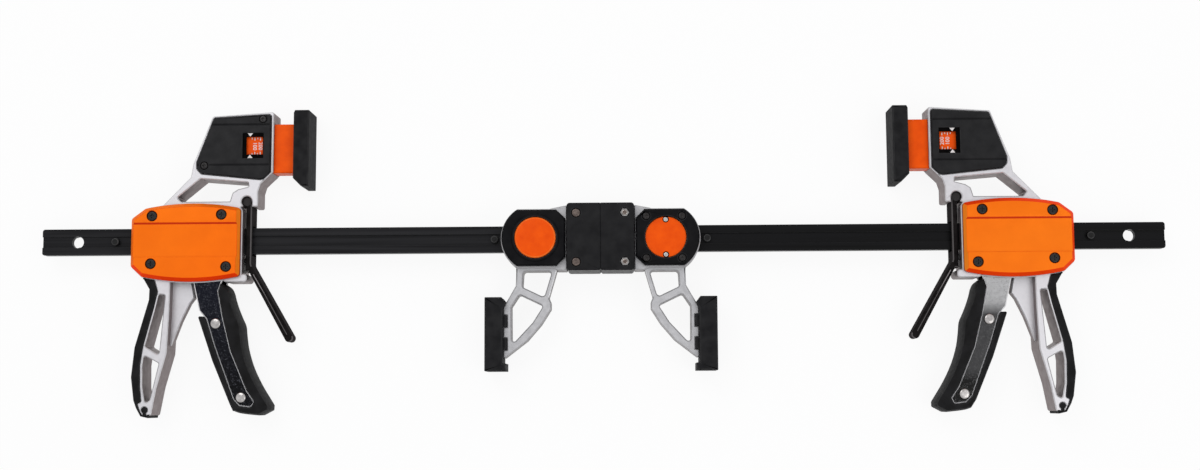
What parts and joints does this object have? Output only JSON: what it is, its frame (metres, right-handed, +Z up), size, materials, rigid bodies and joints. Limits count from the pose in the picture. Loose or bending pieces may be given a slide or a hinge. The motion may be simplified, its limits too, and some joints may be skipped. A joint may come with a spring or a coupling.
{
  "type": "quick release bar clamp",
  "caption": "One-hand quick release bar clamps joined end to end by a coupler, each with a trigger-driven head, release lever, load gauge, fixed jaw and push-button lock.",
  "frame": {"origin": "centre of the underside, on the plane the pair lies on", "axes": "+X along the bars, +Y from the handles towards the gauge heads, +Z up through the thickness"},
  "size_m": [0.893, 0.2436, 0.037],
  "materials": {
    "bar_steel": "black oxide, satin, drawn lengthways",
    "jaw_casting": "bead blasted, satin",
    "head_casting": "bead blasted, pale satin",
    "orange_cover": "metallic orange",
    "orange_plastic": "smooth moulded orange",
    "black_moulding": "fine textured black",
    "gauge_plastic": "fine textured black",
    "coupler_black": "fine textured black",
    "pad_rubber": "matt",
    "grip_rubber": "matt, soft",
    "chromed_steel": "bright plated",
    "plated_steel": "nickel plated",
    "black_screws": "black oxide",
    "spring_steel": "oiled",
    "lever_black": "gloss black"
  },
  "bodies": {
    "bars": {"left_bar": "bar_steel", "left_jaw_frame": "jaw_casting", "left_button_housing": "black_moulding", "left_back_plate": "black_moulding", "left_fixed_pad": "pad_rubber", "left_coupler_block": "coupler_black", "left_button_spring": "spring_steel", "right_bar": "bar_steel", "right_jaw_frame": "jaw_casting", "right_button_housing": "black_moulding", "right_back_plate": "black_moulding", "right_fixed_pad": "pad_rubber", "right_coupler_block": "coupler_black", "right_button_spring": "spring_steel", "bar_stop_pins": "bar_steel", "back_plate_screws": "black_screws", "coupler_bolts": "plated_steel", "coupler_nuts": "plated_steel"},
    "left_head": {"left_head_frame": "head_casting", "left_front_cover": "orange_cover", "left_back_cover": "orange_cover", "left_head_screws": "black_screws", "left_handle_grip": "grip_rubber", "left_front_gauge_cover": "gauge_plastic", "left_back_gauge_cover": "gauge_plastic", "left_trigger_pin": "plated_steel", "left_load_spring": "spring_steel", "left_drive_spring": "spring_steel", "left_brake_spring": "spring_steel"},
    "left_trigger": {"left_trigger_arm": "chromed_steel", "left_trigger_grip": "grip_rubber", "left_trigger_rivets": "plated_steel"},
    "left_drive": {"left_drive_plates": "spring_steel"},
    "left_lever": {"left_release_lever": "lever_black"},
    "left_plunger": {"left_load_plunger": "orange_plastic", "left_moving_pad": "pad_rubber"},
    "left_button": {"left_push_button": "orange_plastic", "left_lock_disc": "orange_plastic", "left_lock_pins": "plated_steel"},
    "right_head": {"right_head_frame": "head_casting", "right_front_cover": "orange_cover", "right_back_cover": "orange_cover", "right_head_screws": "black_screws", "right_handle_grip": "grip_rubber", "right_front_gauge_cover": "gauge_plastic", "right_back_gauge_cover": "gauge_plastic", "right_trigger_pin": "plated_steel", "right_load_spring": "spring_steel", "right_drive_spring": "spring_steel", "right_brake_spring": "spring_steel"},
    "right_trigger": {"right_trigger_arm": "chromed_steel", "right_trigger_grip": "grip_rubber", "right_trigger_rivets": "plated_steel"},
    "right_drive": {"right_drive_plates": "spring_steel"},
    "right_lever": {"right_release_lever": "lever_black"},
    "right_plunger": {"right_load_plunger": "orange_plastic", "right_moving_pad": "pad_rubber"},
    "right_button": {"right_push_button": "orange_plastic", "right_lock_disc": "orange_plastic", "right_lock_pins": "plated_steel"}
  },
  "joints": [
    {"name": "left_head_slide", "type": "slide", "parent": "bars", "child": "left_head", "axis": [-1, 0, 0], "range_m": [-0.13, 0.012]},
    {"name": "left_trigger_squeeze", "type": "hinge", "parent": "left_head", "child": "left_trigger", "pos_m": [-0.316, 0.03502, 0.0185], "axis": [0, 0, -1], "range_deg": [0, 16], "stiffness_Nm_per_rad": 2, "springref_deg": -4.58},
    {"name": "left_drive_stroke", "type": "slide", "parent": "left_head", "child": "left_drive", "axis": [-1, 0, 0], "range_m": [0, 0.0088], "deforming": ["left_drive_spring"]},
    {"name": "left_lever_release", "type": "hinge", "parent": "left_head", "child": "left_lever", "pos_m": [-0.2812, 0.04892, 0.0185], "axis": [0, 0, -1], "range_deg": [0, 1.7], "stiffness_Nm_per_rad": 3, "springref_deg": -2.86, "deforming": ["left_brake_spring"]},
    {"name": "left_plunger_load", "type": "slide", "parent": "left_head", "child": "left_plunger", "axis": [-1, 0, 0], "range_m": [0, 0.007], "stiffness_N_per_m": 150000, "springref_m": -0.0005, "deforming": ["left_load_spring"]},
    {"name": "left_button_press", "type": "slide", "parent": "bars", "child": "left_button", "axis": [0, 0, -1], "range_m": [0, 0.0055], "stiffness_N_per_m": 1500, "springref_m": -0.003, "deforming": ["left_button_spring"]},
    {"name": "right_head_slide", "type": "slide", "parent": "bars", "child": "right_head", "axis": [1, 0, 0], "range_m": [-0.13, 0.012]},
    {"name": "right_trigger_squeeze", "type": "hinge", "parent": "right_head", "child": "right_trigger", "pos_m": [0.316, 0.03502, 0.0185], "axis": [0, 0, 1], "range_deg": [0, 16], "stiffness_Nm_per_rad": 2, "springref_deg": -4.58},
    {"name": "right_drive_stroke", "type": "slide", "parent": "right_head", "child": "right_drive", "axis": [1, 0, 0], "range_m": [0, 0.0088], "deforming": ["right_drive_spring"]},
    {"name": "right_lever_release", "type": "hinge", "parent": "right_head", "child": "right_lever", "pos_m": [0.2812, 0.04892, 0.0185], "axis": [0, 0, 1], "range_deg": [0, 1.7], "stiffness_Nm_per_rad": 3, "springref_deg": -2.86, "deforming": ["right_brake_spring"]},
    {"name": "right_plunger_load", "type": "slide", "parent": "right_head", "child": "right_plunger", "axis": [1, 0, 0], "range_m": [0, 0.007], "stiffness_N_per_m": 150000, "springref_m": -0.0005, "deforming": ["right_load_spring"]},
    {"name": "right_button_press", "type": "slide", "parent": "bars", "child": "right_button", "axis": [0, 0, 1], "range_m": [0, 0.0055], "stiffness_N_per_m": 1500, "springref_m": -0.003, "deforming": ["right_button_spring"]}
  ],
  "couplings": [
    {"joint": "left_drive_stroke", "follows": "left_trigger_squeeze", "m_per_rad": 0.0308},
    {"joint": "right_drive_stroke", "follows": "right_trigger_squeeze", "m_per_rad": 0.0308}
  ]
}
